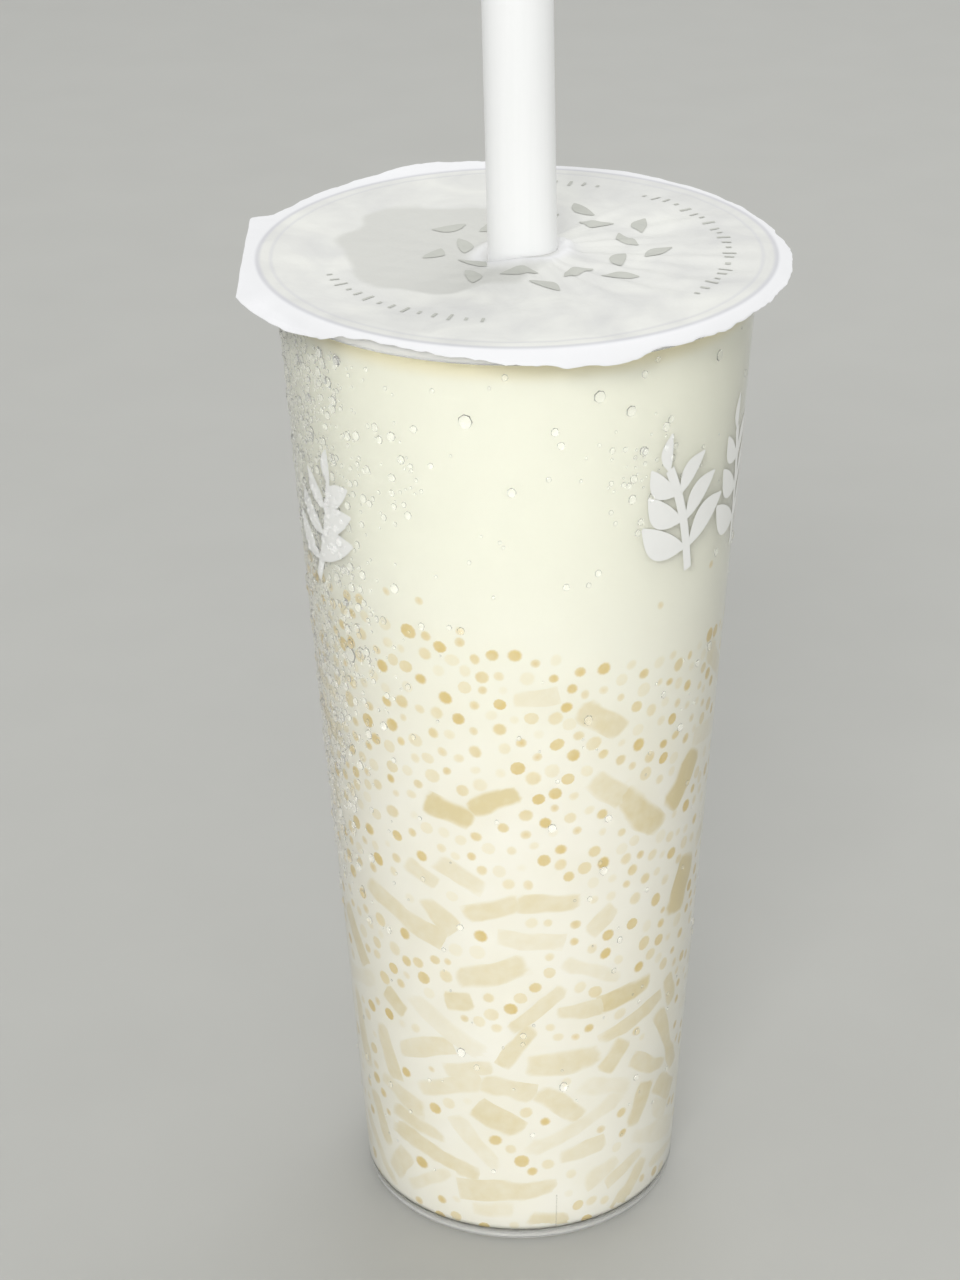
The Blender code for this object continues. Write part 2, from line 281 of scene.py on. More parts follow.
# Cooked sago and coconut jelly: they show where they press on the wall and blur into the milk behind it
def makeSunken(name, pale, deep, softness):
    made, tree = newMaterial(name)
    colour = addNode(tree, "ShaderNodeGroup", node_tree=milkColour)
    place = objectPlace(tree)
    reach = addNode(tree, "ShaderNodeAttribute", attribute_name="reach")
    tone = addNode(tree, "ShaderNodeAttribute", attribute_name="tone")
    grain = noiseFrom(tree, place, 420.0, 2.0)
    mixed = maths(tree, "ADD", grain.outputs["Fac"], tone.outputs["Fac"])
    share = ranged(tree, mixed, 0.5, 1.5)
    own = mixColours(tree, share, linearColour(pale), linearColour(deep))
    fade = ranged(tree, reach.outputs["Fac"], 0.0, softness, ease="SMOOTHSTEP")
    strength = ranged(tree, tone.outputs["Fac"], 0.0, 0.7, 0.32, 1.0)
    shown = maths(tree, "MULTIPLY", fade, strength)
    blend = mixColours(tree, shown, colour, own)
    closeMaterial(tree, addNode(tree, "ShaderNodeBsdfPrincipled", {
        "Base Color": blend, "Roughness": 0.35, "IOR": 1.35}))
    return made


# Heat-sealed lidding film: thin frosted white plastic, whitest on its loose border, greyer where wet below,
# with a painted highlight on the collar round the straw
def makeFilmPlastic():
    made, tree = newMaterial("liddingFilm")
    place = objectPlace(tree)
    parts = addNode(tree, "ShaderNodeSeparateXYZ", {"Vector": place})
    flat = addNode(tree, "ShaderNodeCombineXYZ", {"X": parts.outputs["X"], "Y": parts.outputs["Y"]})
    radius = addNode(tree, "ShaderNodeVectorMath", {0: flat}, operation="LENGTH").outputs["Value"]
    border = ranged(tree, radius, 0.0446, 0.0451, ease="SMOOTHSTEP")
    streaks = noiseFrom(tree, place, 75.0, 5.0)
    streaks.inputs["Distortion"].default_value = 0.8
    clouds = ranged(tree, streaks.outputs["Fac"], 0.3, 0.68)
    frosted = mixColours(tree, clouds, linearColour("#DCDCDA"), linearColour("#EDEDE8"))
    wet = addNode(tree, "ShaderNodeAttribute", attribute_name="wet")
    wetted = mixColours(tree, wet.outputs["Fac"], frosted, linearColour("#D6D6D1"))
    # Painted highlight: whiter on the raised collar round the straw, most in front and least behind it
    collarHighlight = addNode(tree, "ShaderNodeAttribute", attribute_name="collarHighlight")
    white = maths(tree, "MAXIMUM", border, collarHighlight.outputs["Fac"])
    final = mixColours(tree, white, wetted, linearColour("#F1F1F3"))
    # Two thin lines, greyer where the hot ring pressed the film clear
    for ring, half, depth in ((0.0446, 0.0008, 0.6), (0.0423, 0.0006, 0.3)):
        off = maths(tree, "ABSOLUTE", maths(tree, "SUBTRACT", radius, ring))
        line = ranged(tree, off, 0.0, half, depth, 0.0, ease="SMOOTHSTEP")
        final = mixColours(tree, line, final, linearColour("#C9C9D2"))
    crinkle = noiseFrom(tree, place, 260.0, 4.0)
    bump = bumpFrom(tree, crinkle.outputs["Fac"], 0.25, 0.0004)
    closeMaterial(tree, addNode(tree, "ShaderNodeBsdfPrincipled", {
        "Base Color": final, "Roughness": 0.42, "Normal": bump, "IOR": 1.5}))
    return made


# Printing ink: thin and matt, a little of what is under it shows in its tone
def makeInk(name, pale, dark, roughness):
    made, tree = newMaterial(name)
    place = objectPlace(tree)
    patch = noiseFrom(tree, place, 350.0, 3.0)
    ink = mixColours(tree, patch.outputs["Fac"], linearColour(pale), linearColour(dark))
    closeMaterial(tree, addNode(tree, "ShaderNodeBsdfPrincipled", {
        "Base Color": ink, "Roughness": roughness}))
    return made


# Extruded polypropylene straw: satin white, with faint lines drawn along it by the die
def makeStrawPlastic():
    made, tree = newMaterial("extrudedWhiteStraw")
    place = objectPlace(tree)
    drawn = addNode(tree, "ShaderNodeMapping", {"Vector": place, "Scale": (1.0, 1.0, 0.02)})
    lines = noiseFrom(tree, drawn, 700.0, 2.0)
    tint = mixColours(tree, lines.outputs["Fac"], linearColour("#F4F5F4"), linearColour("#FBFBFB"))
    bump = bumpFrom(tree, lines.outputs["Fac"], 0.05, 0.0002)
    closeMaterial(tree, addNode(tree, "ShaderNodeBsdfPrincipled", {
        "Base Color": tint, "Roughness": 0.38, "Normal": bump}))
    return made


# Matt pale tabletop
def makeFloorPaint():
    made, tree = newMaterial("paleTabletop")
    place = objectPlace(tree)
    speck = noiseFrom(tree, place, 30.0, 3.0)
    tint = mixColours(tree, speck.outputs["Fac"], linearColour("#B9B9B5"), linearColour("#BEBEBA"))
    closeMaterial(tree, addNode(tree, "ShaderNodeBsdfPrincipled", {
        "Base Color": tint, "Roughness": 0.55}))
    return made


def makeCup(plastic):
    rim, top = cup["rimRadius"], cup["rimTop"]
    under = top - cup["flangeThick"]
    lip = rim - cup["lipWidth"]
    lipBottom = top - cup["lipDrop"]
    hollow, foot = cup["footHollow"], cup["footInner"]
    outer = [(0.0, hollow), (8.0, hollow)] + arc(foot - hollow, 0.0, hollow, 90, 30, 4)[:-1]
    outer += [(foot + 0.1, 0.0)] + arc(*outerCorner, -90, -math.degrees(wallTilt), 8)
    outer += [(wallRadius(z), z) for z in (5, 20, 40, 60, 80, 100, 120, 140, 160, 175, 182, 185)]
    outer += arc(cup["neckRadius"] + 0.4, under - 0.4, 0.4, 180, 90, 4)
    outer += [(lip - 0.2, under), (lip, under - 0.2), (lip, lipBottom + 0.4)]
    outer += arc(rim - 0.4, lipBottom + 0.4, 0.4, -90, 0, 4) + arc(rim - 0.6, top - 0.6, 0.6, 0, 90, 6)
    outer += arc(cup["neckRadius"] - 0.2, top - 0.6, 0.6, 90, 180, 6)
    thin, thick = cup["wallThick"], cup["wallThick"] + press["wallBehind"]
    inner = [(cup["neckRadius"] - thin, z) for z in (under, drink["cling"] + 0.2)]
    inner += [(wallRadius(z) - thick, z) for z in (drink["cling"] - 0.3, 185, 182, 160, 120, 80, 40, 20, 8)]
    behind = (innerCorner[0], innerCorner[1], innerCorner[2] - press["wallBehind"])
    inner += arc(*behind, -math.degrees(wallTilt), -90, 16) + [(0.0, behind[1] - behind[2])]
    sides = cup["sides"]
    points, faces = turned([circle(r, z, sides) for r, z in outer + inner])
    # The mould's parting line: a fine ridge low on the front
    start = len(points)
    for up in (2.4, 11.2):
        for across, out in ((-0.12, -0.1), (0.12, -0.1), (0.06, 0.1), (-0.06, 0.1)):
            points.append(onWall(math.radians(12.5 - 90), up, across, out, outerCorner))
    faces += [[start + i for i in f] for f in (
        (0, 1, 2, 3), (7, 6, 5, 4), (0, 4, 5, 1), (1, 5, 6, 2), (2, 6, 7, 3), (3, 7, 4, 0))]
    return newPiece("cupWall", points, faces, plastic, sharp=60)


# The leaning straw's centre at a height
def strawX(z):
    return straw["xAtFilm"] - math.tan(straw["lean"]) * (z - filmTop)


def makeMilkPiece(milk):
    reach = press["liquid"] - cup["wallThick"]
    level = drink["level"] - drink["meniscus"]
    profile = [(0.0, liquidCorner[1] - liquidCorner[2])]
    profile += arc(*liquidCorner, -90, -math.degrees(wallTilt), 16)
    profile += [(wallRadius(z) + reach, z) for z in (8, 20, 40, 60, 80, 100, 120, 140, 160, 175, 182)]
    # The top edge climbs the wall, where the drink has splashed and clings
    cling = drink["cling"]
    profile += [(wallRadius(z) + reach, z) for z in (184.0, cling)]
    side = wallRadius(level) + reach
    profile += [(wallRadius(cling) + reach - 0.25, cling),
                (wallRadius(level + 1.0) + reach - 0.35, level + 1.0),
                (side - 0.9, level + 0.2), (side - 2.0, level), (20.0, level)]
    rings = [circle(r, z, cup["sides"]) for r, z in profile]
    bore = straw["radius"] + 0.1
    bottom = straw["bottom"] - 0.2
    heights = [level, 150.0, 100.0, 50.0, bottom]
    rings += [circle(bore, z, cup["sides"], strawX(z)) for z in heights]
    rings += [circle(0.0, bottom, 1, strawX(bottom))]
    points, faces = turned(rings)
    return newPiece("milkTeaDrink", points, faces, milk, sharp=60)


def makeStraw(plastic):
    sides, outer = straw["sides"], straw["radius"]
    inner = outer - straw["wall"]
    top = straw["top"] - 0.15

    # up is a height, or None for the slanted lower end
    def ring(radius, up):
        points = []
        for i in range(sides):
            a = 2 * math.pi * i / sides
            x, y = radius * math.cos(a), radius * math.sin(a)
            z = straw["bottom"] + straw["slant"] * (0.5 + 0.5 * x / outer) if up is None else up
            points.append((strawX(z) + x, y, z + x * math.sin(straw["lean"])))
        return points

    heights = [40, 80, 120, 160, 190, 215, top - 0.3]
    rings = [ring(outer, None)] + [ring(outer, z) for z in heights] + [ring(outer - 0.12, top)]
    rings += [ring(inner + 0.12, top)] + [ring(inner, z) for z in reversed(heights)] + [ring(inner, None)]
    points, faces = turned(rings, joined=True)
    return newPiece("drinkingStraw", points, faces, plastic, sharp=50)


# Film: bearing from +X in degrees, radius, and how far the edge hangs below the flat, hand-torn all round
film = {
    "thick": 0.12, "sides": 360, "chop": 47.1,
    "edge": ((0, 47.2, 0.4), (11, 46.4, 0.3), (22, 46.0, 0.2), (45, 46.2, 0.1), (65, 46.9, 0.0),
             (82, 46.2, 0.0), (100, 47.2, -0.8), (112, 47.6, -0.9), (130, 47.1, -0.2), (150, 47.1, 0.0),
             (155, 47.3, 0.0), (158, 50.4, 0.1), (180, 50.4, 0.1), (205, 50.8, 0.6), (211, 50.0, 1.3),
             (218, 48.9, 1.8), (226, 47.5, 1.7), (232, 46.7, 1.5), (238, 46.2, 1.4), (244, 46.1, 1.3),
             (250, 46.2, 1.5), (257, 46.6, 1.7),
             (270, 47.1, 2.0), (285, 47.5, 2.2), (300, 46.9, 1.9), (315, 47.1, 1.9), (330, 47.1, 1.3),
             (345, 47.4, 0.7)),
}
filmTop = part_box("seal_film")[1].z / mm - 1.0


# Radius and droop of the torn edge, eased between its points
def filmEdge(degrees):
    table = film["edge"]
    degrees %= 360
    for here, then in zip(table, table[1:] + ((360, *table[0][1:]),)):
        if here[0] <= degrees <= then[0]:
            share = (degrees - here[0]) / (then[0] - here[0])
            share = share * share * (3 - 2 * share)
            reach, droop = here[1] + (then[1] - here[1]) * share, here[2] + (then[2] - here[2]) * share
            across = -math.cos(math.radians(degrees))  # the left side is chopped straight
            return (min(reach, film["chop"] / across) if across > 0.5 else reach), droop
    return table[0][1:]


# Small tears of the edge: sharper on the right, soft elsewhere
def filmNick(degrees):
    a = math.radians(degrees)
    rough = noise.noise(Vector((math.cos(a) * 9, math.sin(a) * 9, 4.0))) * 0.35
    fine = noise.noise(Vector((math.cos(a) * 30, math.sin(a) * 30, 9.0))) * 0.22
    step = abs((degrees / 5.5 + 0.3) % 1.0 - 0.5) * 0.7
    right = math.exp(-((((degrees - 8 + 180) % 360) - 180) / 16) ** 2)
    calm = 0.25 if 158 < degrees < 206 else 1.0
    return (rough + fine) * calm - right * step


# The film's upper face: flat on the rim, wrinkled, and pushed about by the straw
def filmHeight(x, y, droop=0.0):
    r, a = math.hypot(x, y), math.atan2(y, x)
    away = math.hypot(x - straw["xAtFilm"], y)
    side, front = (x - straw["xAtFilm"]) / max(away, 1e-6), -y / max(away, 1e-6)
    push = math.exp(-max(away - straw["radius"], 0.0) / 4.5)
    z = filmTop + push * (1.0 * front - 2.0 * max(-side, 0.0) + 0.3 * side)
    # The pierced film folds up in a soft collar close round the straw
    lobes = math.sin(3 * math.atan2(y, x - straw["xAtFilm"]) + 0.7)
    z += 1.1 * math.exp(-((away - 8.0) / 1.2) ** 2) * (0.65 + 0.35 * lobes)
    calm = min(max((away - straw["radius"]) / 6.0, 0.0), 1.0) * min(max((43.5 - r) / 5.0, 0.0), 1.0)
    z += calm * 0.30 * noise.noise(Vector((x * 0.07, y * 0.07, 1.0)))
    radial = noise.noise(Vector((math.cos(a) * 8.0, math.sin(a) * 8.0, r * 0.04)))
    z += calm * 0.6 * radial * (0.5 + 0.5 * math.cos(a))
    z += calm * 0.14 * noise.noise(Vector((x * 0.35, y * 0.35, 7.0)))
    # Two grooves where the hot ring pressed the film on the rim
    for groove in (42.3, 44.6):
        z -= 0.14 * math.exp(-((r - groove) / 0.22) ** 2)
    if r > cup["rimRadius"] - 0.2:
        over = min((r - cup["rimRadius"] + 0.2) / 2.3, 1.2)
        z -= droop * over ** 1.4
        z += 0.10 * noise.noise(Vector((math.cos(a) * 14, math.sin(a) * 14, 2.0))) * over
    return z


# How much the drink wets the film from below: a blot left of and behind the straw
def wetShade(x, y):
    shift = 5.0 * noise.noise(Vector((x * 0.11, y * 0.11, 5.0)))
    blot = math.hypot((x + 13.0) / 1.0, (y - 3.0) / 1.25)
    return min(max((19.0 + shift - blot) / 1.6, 0.0), 1.0)


# How much painted highlight lies on the raised collar round the straw: most in front, least behind it
def collarHighlightShare(x, y):
    x -= straw["xAtFilm"]
    away = math.hypot(x, y)
    turn = math.atan2(y, x)
    width = 1.5 + 0.5 * math.sin(2 * turn + 0.6)
    return (0.75 - 0.25 * math.sin(turn)) * math.exp(-((away - 7.6) / width) ** 2)


def makeFilm(plastic):
    sides = film["sides"]
    hole = straw["radius"] + 0.03
    rim = cup["rimRadius"]
    inside = [hole + (rim - 0.2 - hole) * (i / 62) for i in range(63)]
    outside = [0.15, 0.3, 0.45, 0.6, 0.75, 0.88, 1.0]
    upper = []
    for radius in inside:
        ring = []
        slide = straw["xAtFilm"] * max(0.0, 1.0 - (radius - hole) / (rim - hole))
        for i in range(sides):
            a = 2 * math.pi * i / sides
            x, y = slide + radius * math.cos(a), radius * math.sin(a)
            ring.append((x, y, filmHeight(x, y)))
        upper.append(ring)
    for share in outside:
        ring = []
        for i in range(sides):
            degrees = 360 * i / sides
            reach, droop = filmEdge(degrees)
            reach += filmNick(degrees) * share
            radius = rim - 0.2 + (reach - rim + 0.2) * share
            a = math.radians(degrees)
            x, y = radius * math.cos(a), radius * math.sin(a)
            ring.append((x, y, filmHeight(x, y, droop)))
        upper.append(ring)
    lower = [[(x, y, z - film["thick"]) for x, y, z in ring] for ring in reversed(upper)]
    points, faces = turned(upper + lower, joined=True)
    piece = newPiece("sealingFilm", points, [tuple(reversed(f)) for f in faces], plastic, sharp=50)
    # The wet blot is the film's own tone; the second attribute is the painted highlight on the collar
    for name, shade in (("wet", wetShade), ("collarHighlight", collarHighlightShare)):
        layer = piece.data.attributes.new(name, "FLOAT", "POINT")
        layer.data.foreach_set("value", [shade(p[0], p[1]) for p in points])
    return piece


# Points and faces of a flat patch: outline(share) gives its two edge points at that share of its length
def patchGrid(outline, steps):
    points, faces = [], []
    across = 8
    for i in range(steps + 1):
        (xa, ya), (xb, yb) = outline(i / steps)
        for j in range(across + 1):
            points.append((xa + (xb - xa) * j / across, ya + (yb - ya) * j / across))
    for i in range(steps):
        for j in range(across):
            a = i * (across + 1) + j
            faces.append((a, a + across + 1, a + across + 2, a + 1))
    return points, faces


# A leaf from its stalk at x, y
def leafPatch(x, y, turn, length, width):
    c, s = math.cos(turn), math.sin(turn)

    def outline(share):
        half = 0.5 * width * math.sin(math.pi * min(max(share, 0.02), 0.98)) ** 0.8
        along = share * length
        bow = 0.12 * length * math.sin(math.pi * share)
        return ((x + along * c - (bow - half) * s, y + along * s + (bow - half) * c),
                (x + along * c - (bow + half) * s, y + along * s + (bow + half) * c))

    return patchGrid(outline, 14)


# A printed line along path(share), a function of x and y
def linePatch(path, width, steps):
    def outline(share):
        x0, y0 = path(max(share - 0.004, 0.0))
        x1, y1 = path(min(share + 0.004, 1.0))
        size = math.hypot(x1 - x0, y1 - y0)
        nx, ny = -(y1 - y0) / size * width / 2, (x1 - x0) / size * width / 2
        x, y = path(share)
        return (x + nx, y + ny), (x - nx, y - ny)

    return patchGrid(outline, steps)


# All patches as one mesh, each point put in space by place(x, y)
def joinPatches(patches, place):
    points, faces = [], []
    for patch, ring in patches:
        start = len(points)
        points += [place(*p) for p in patch]
        faces += [tuple(start + i for i in f) for f in ring]
    return points, faces


# Generic print on the film: a wreath of small leaves round the straw, and arcs of short dashes
filmMotif = {"centre": (5.0, 2.5), "wreathRadius": 17.0, "leaves": 18, "leafLength": 6.4, "leafWidth": 2.8,
             "lean": 0.5, "dashArcs": ((196, 262, 33.5), (-38, 52, 36.5), (64, 92, 37.5))}


def makeFilmPrint(ink):
    cx, cy = filmMotif["centre"]
    patches = []
    for i in range(filmMotif["leaves"]):
        a = 2 * math.pi * i / filmMotif["leaves"]
        side = 1 if i % 2 else -1  # leaves point outwards and inwards by turns
        reach = filmMotif["wreathRadius"] + side
        patches.append(leafPatch(cx + reach * math.cos(a), cy + reach * math.sin(a),
                                 a + math.pi / 2 - side * filmMotif["lean"],
                                 filmMotif["leafLength"], filmMotif["leafWidth"]))
    for first, last, radius in filmMotif["dashArcs"]:
        count = int(math.radians(last - first) * radius / 2.6)
        for i in range(count):
            a = math.radians(first + (last - first) * (i + 0.5) / count)
            size = 0.5 + 0.35 * ((i * 7) % 3)
            patches.append(linePatch(lambda s, a=a, size=size: (
                (radius - size + 2 * size * s) * math.cos(a),
                (radius - size + 2 * size * s) * math.sin(a)), 0.55, 2))

    def place(x, y):
        return x, y, filmHeight(x, y) + 0.09

    points, faces = joinPatches(patches, place)
    return newPiece("filmPrint", points, faces, ink)


# Generic white print on the wall: leafy sprigs, each with its bearing right of the front, place up the wall,
# height and lean, in unrolled millimetres
wallMotif = {"sprigs": ((42.3, 153.0, 21.0, -0.35), (72.0, 151.5, 24.0, -0.2), (-61.0, 147.0, 21.0, 0.3)),
             "stemWidth": 1.9, "leafLength": 12.0, "leafWidth": 5.2, "pairs": 3}


def makeWallPrint(ink):
    points, faces = [], []

    def addPatches(patches, bearing, up):
        turn = math.radians(bearing - 90)
        more, rings = joinPatches(patches, lambda x, y: onWall(turn, up + y, x, 0.04, outerCorner))
        faces.extend(tuple(len(points) + i for i in f) for f in rings)
        points.extend(more)

    for bearing, up, height, lean in wallMotif["sprigs"]:
        patches = []

        def stem(share, height=height, lean=lean):
            return lean * height * (share - 0.5) + 1.6 * math.sin(2.4 * share), height * (share - 0.5)

        patches.append(linePatch(stem, wallMotif["stemWidth"], 20))
        for i in range(wallMotif["pairs"]):
            share = 0.22 + 0.26 * i
            x, y = stem(share)
            size = 1.0 - 0.14 * i
            for side in (-1, 1):
                turn = math.pi / 2 - side * (1.0 - 0.12 * i)
                patches.append(leafPatch(x + side * 0.5, y, turn, wallMotif["leafLength"] * size,
                                         wallMotif["leafWidth"] * size))
        x, y = stem(1.0)
        patches.append(leafPatch(x, y - 0.5, math.pi / 2, wallMotif["leafLength"] * 0.6, 2.6))
        addPatches(patches, bearing, up)
    return newPiece("wallPrint", points, faces, ink)


wrapInputs = ("Corner Centre", "Corner Height", "Corner Radius", "Wall Tilt", "Flatness", "Flat Depth")


# Bends a flat, unrolled layout round the cup: x is across, y up the profile, z out of it
def makeWrapGroup():
    tree = bpy.data.node_groups.new("wrapRoundCup", "GeometryNodeTree")
    addSockets(tree, "INPUT", "Geometry", "Geometry")
    addSockets(tree, "INPUT", "Float", *wrapInputs)
    addSockets(tree, "OUTPUT", "Geometry", "Geometry")
    given = addNode(tree, "NodeGroupInput")
    flat = addNode(tree, "ShaderNodeSeparateXYZ", {0: addNode(tree, "GeometryNodeInputPosition")})
    bearing = namedValue(tree, "bearing", "FLOAT")
    halfTurn = maths(tree, "SUBTRACT", math.pi / 2, given.outputs["Wall Tilt"])
    length = maths(tree, "MULTIPLY", halfTurn, given.outputs["Corner Radius"])
    bent = addNode(tree, "ShaderNodeClamp", {"Value": flat.outputs["Y"], "Min": 0.0, "Max": length})
    turn = maths(tree, "DIVIDE", bent, given.outputs["Corner Radius"])
    phi = maths(tree, "SUBTRACT", turn, math.pi / 2)
    cosine = maths(tree, "COSINE", phi)
    sine = maths(tree, "SINE", phi)
    beyond = maths(tree, "SUBTRACT", flat.outputs["Y"], bent)
    # What lies near the wall is pressed flat on it, so that it shows by its colour and not by its relief
    floor = maths(tree, "MULTIPLY", given.outputs["Flat Depth"], -1.0)
    near = maths(tree, "MAXIMUM", flat.outputs["Z"], floor)
    lifted = maths(tree, "SUBTRACT", flat.outputs["Z"], floor)
    below = maths(tree, "MINIMUM", lifted, 0.0)
    out = maths(tree, "MULTIPLY_ADD", near, given.outputs["Flatness"], below)
    radius = maths(tree, "ADD", given.outputs["Corner Radius"], out)
    wide = maths(tree, "MULTIPLY_ADD", radius, cosine, given.outputs["Corner Centre"])
    back = maths(tree, "MULTIPLY", beyond, sine)
    r = maths(tree, "SUBTRACT", wide, back)
    tall = maths(tree, "MULTIPLY_ADD", radius, sine, given.outputs["Corner Height"])
    z = maths(tree, "MULTIPLY_ADD", beyond, cosine, tall)
    slide = maths(tree, "DIVIDE", flat.outputs["X"], r)
    angle = maths(tree, "ADD", bearing, slide)
    x = maths(tree, "MULTIPLY", maths(tree, "COSINE", angle), r)
    y = maths(tree, "MULTIPLY", maths(tree, "SINE", angle), r)
    place = addNode(tree, "ShaderNodeCombineXYZ", {0: x, 1: y, 2: z})
    depth = maths(tree, "MULTIPLY", flat.outputs["Z"], 1 / mm)
    reach = addNode(tree, "GeometryNodeStoreNamedAttribute", {
        "Geometry": given.outputs["Geometry"], "Name": "reach", "Value": depth},
        data_type="FLOAT", domain="POINT")
    moved = addNode(tree, "GeometryNodeSetPosition", {"Geometry": reach, "Position": place})
    addNode(tree, "NodeGroupOutput", {0: moved})
    return tree


# Puts a small part on every point, by its turn and size, roughens it, and bends all round the cup
def makeScatterTree(name, part, wobble):
    tree = bpy.data.node_groups.new(name, "GeometryNodeTree")
    addSockets(tree, "INPUT", "Geometry", "Geometry")
    addSockets(tree, "INPUT", "Float", *wrapInputs, "Wobble")
    addSockets(tree, "INPUT", "Material", "Material")
    addSockets(tree, "OUTPUT", "Geometry", "Geometry")
    given = addNode(tree, "NodeGroupInput")
    turn = namedValue(tree, "turn", "FLOAT_VECTOR")
    size = namedValue(tree, "size", "FLOAT_VECTOR")
    onPoints = addNode(tree, "GeometryNodeInstanceOnPoints", {
        "Points": given.outputs["Geometry"], "Instance": part(tree), "Rotation": turn, "Scale": size})
    real = addNode(tree, "GeometryNodeRealizeInstances", {"Geometry": onPoints})
    bearing = namedValue(tree, "bearing", "FLOAT")
    apartInNoise = addNode(tree, "ShaderNodeCombineXYZ", {2: bearing})
    shifted = addNode(tree, "ShaderNodeVectorMath", {
        0: addNode(tree, "GeometryNodeInputPosition"), 1: apartInNoise}, operation="ADD")
    lumps = noiseFrom(tree, shifted, wobble, 1.0)
    centred = addNode(tree, "ShaderNodeVectorMath", {
        0: lumps.outputs["Color"], 1: (0.5, 0.5, 0.5)}, operation="SUBTRACT")
    offset = addNode(tree, "ShaderNodeVectorMath", {0: centred}, operation="SCALE")
    tree.links.new(given.outputs["Wobble"], offset.inputs["Scale"])
    uneven = addNode(tree, "GeometryNodeSetPosition", {"Geometry": real, "Offset": offset})
    wrapped = addNode(tree, "GeometryNodeGroup", {"Geometry": uneven, **{
        s: given.outputs[s] for s in wrapInputs}}, node_tree=wrapRoundCup)
    smooth = addNode(tree, "GeometryNodeSetShadeSmooth", {"Geometry": wrapped})
    painted = addNode(tree, "GeometryNodeSetMaterial", {
        "Geometry": smooth, "Material": given.outputs["Material"]})
    addNode(tree, "NodeGroupOutput", {0: painted})
    return tree


# A mesh of the tree's parts on spots, each a dictionary of bearing, up, out, turn, size and tone
def scatter(name, spots, tree, corner, flatness, wobble, material):
    mesh = bpy.data.meshes.new(name)
    mesh.from_pydata([(0.0, s["up"] * mm, s["out"] * mm) for s in spots], [], [])
    for label in ("bearing", "tone"):
        layer = mesh.attributes.new(label, "FLOAT", "POINT")
        layer.data.foreach_set("value", [s[label] for s in spots])
    for label in ("turn", "size"):
        layer = mesh.attributes.new(label, "FLOAT_VECTOR", "POINT")
        layer.data.foreach_set("vector", [v for s in spots for v in s[label]])
    piece = bpy.data.objects.new(name, mesh)
    bpy.context.scene.collection.objects.link(piece)
    made = piece.modifiers.new("scatter", "NODES")
    made.node_group = tree
    values = {"Corner Centre": corner[0] * mm, "Corner Height": corner[1] * mm,
              "Corner Radius": corner[2] * mm, "Wall Tilt": wallTilt, "Flatness": flatness,
              "Flat Depth": press["flatDepth"] * mm, "Wobble": wobble * mm, "Material": material}
    for item in tree.interface.items_tree:
        if item.in_out == "INPUT" and item.name in values:
            made[item.identifier] = values[item.name]
    bpy.context.view_layer.update()
    graph = bpy.context.evaluated_depsgraph_get()
    joined = bpy.data.meshes.new_from_object(
        piece.evaluated_get(graph), preserve_all_data_layers=True, depsgraph=graph)
    piece.modifiers.clear()
    piece.data = joined
    joined.name = name
    joined.materials.clear()
    joined.materials.append(material)
    joined.polygons.foreach_set("material_index", [0] * len(joined.polygons))
    print(name, len(joined.polygons), "faces")
    return piece


# Gives what is pressed on the wall the wall's own shading normals
def shadeAsWall(piece, corner):
    mesh = piece.data
    normals = []
    for vertex, reach in zip(mesh.vertices, mesh.attributes["reach"].data):
        x, y, z = vertex.co / mm
        r = math.hypot(x, y)
        phi = min(max(math.atan2(z - corner[1], r - corner[0]), -math.pi / 2), -wallTilt)
        pressed = reach.value > -press["flatDepth"]
        wall = (x / r * math.cos(phi), y / r * math.cos(phi), math.sin(phi))
        normals.append(wall if pressed else vertex.normal)
    mesh.normals_split_custom_set_from_vertices(normals)


# Toppings. Heights are along the wall's profile, in millimetres from where the floor starts to curve.
toppings = {"heapTop": 131.5, "heapTilt": 0.2, "pearlRadius": (1.3, 1.8), "pearls": 900,
            "loosePearls": 8, "stray": (39.1, 135.6),  # degrees right of the front, and up the wall
            "moreStrips": 150, "stripThick": 3.0, "seed": 23}
